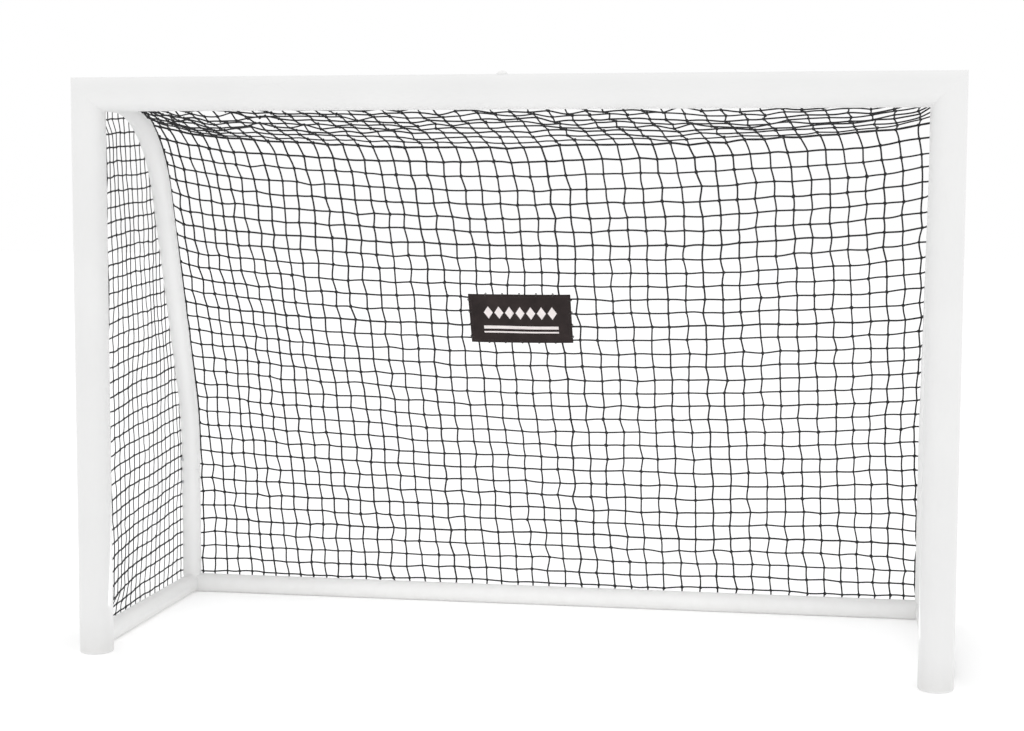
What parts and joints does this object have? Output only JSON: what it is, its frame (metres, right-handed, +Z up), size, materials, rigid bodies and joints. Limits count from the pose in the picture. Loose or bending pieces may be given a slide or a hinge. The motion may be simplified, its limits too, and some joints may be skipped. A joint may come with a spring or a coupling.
{
  "type": "hockey goal net",
  "caption": "Street-hockey style goal: mitred white round-tube front frame, bent rear bows, ground bars and a black knotted net, with a snap-button split crossbar.",
  "frame": {"origin": "centre of the footprint on the ground", "axes": "+X along the crossbar, +Y from the goal mouth to the rear bar, +Z up"},
  "size_m": [1.8, 0.6894, 1.2065],
  "materials": {
    "frame_coat": "white powder coat, satin",
    "inner_steel": "zinc plated",
    "screw_steel": "zinc plated",
    "spring_steel": "bright spring wire",
    "cap_plastic": "moulded, fine texture",
    "button_plastic": "moulded, satin",
    "clip_plastic": "moulded",
    "net_cord": "twisted polyester cord, matt",
    "badge_cloth": "woven badge"
  },
  "bodies": {
    "frame": {"post_left": "frame_coat", "post_right": "frame_coat", "crossbar_left": "frame_coat", "crossbar_right": "frame_coat", "bow_left": "frame_coat", "bow_right": "frame_coat", "corner_stub_left": "frame_coat", "corner_stub_right": "frame_coat", "ground_bar_left": "frame_coat", "ground_bar_right": "frame_coat", "rear_bar_left": "frame_coat", "rear_bar_right": "frame_coat", "spigots_left": "inner_steel", "spigots_right": "inner_steel", "bow_sleeve_left": "inner_steel", "bow_sleeve_right": "inner_steel", "rear_bar_sleeve": "inner_steel", "crossbar_sleeve": "inner_steel", "corner_connector_left": "inner_steel", "corner_connector_right": "inner_steel", "front_frame_screws": "screw_steel", "rear_frame_screws": "screw_steel", "crossbar_lock_spring": "spring_steel", "post_foot_left": "cap_plastic", "post_foot_right": "cap_plastic", "net_clips_front": "clip_plastic", "net_clips_rear": "clip_plastic", "net_roof": "net_cord", "net_back": "net_cord", "net_side_left": "net_cord", "net_side_right": "net_cord", "net_edge_cord": "net_cord", "net_seam_cords": "net_cord", "net_badge": "badge_cloth"},
    "lock_button": {"crossbar_lock_button": "button_plastic"}
  },
  "joints": [
    {"name": "crossbar_lock_press", "type": "slide", "parent": "frame", "child": "lock_button", "axis": [0, 0, -1], "range_m": [0, 0.009], "stiffness_N_per_m": 900, "deforming": ["crossbar_lock_spring"]}
  ]
}
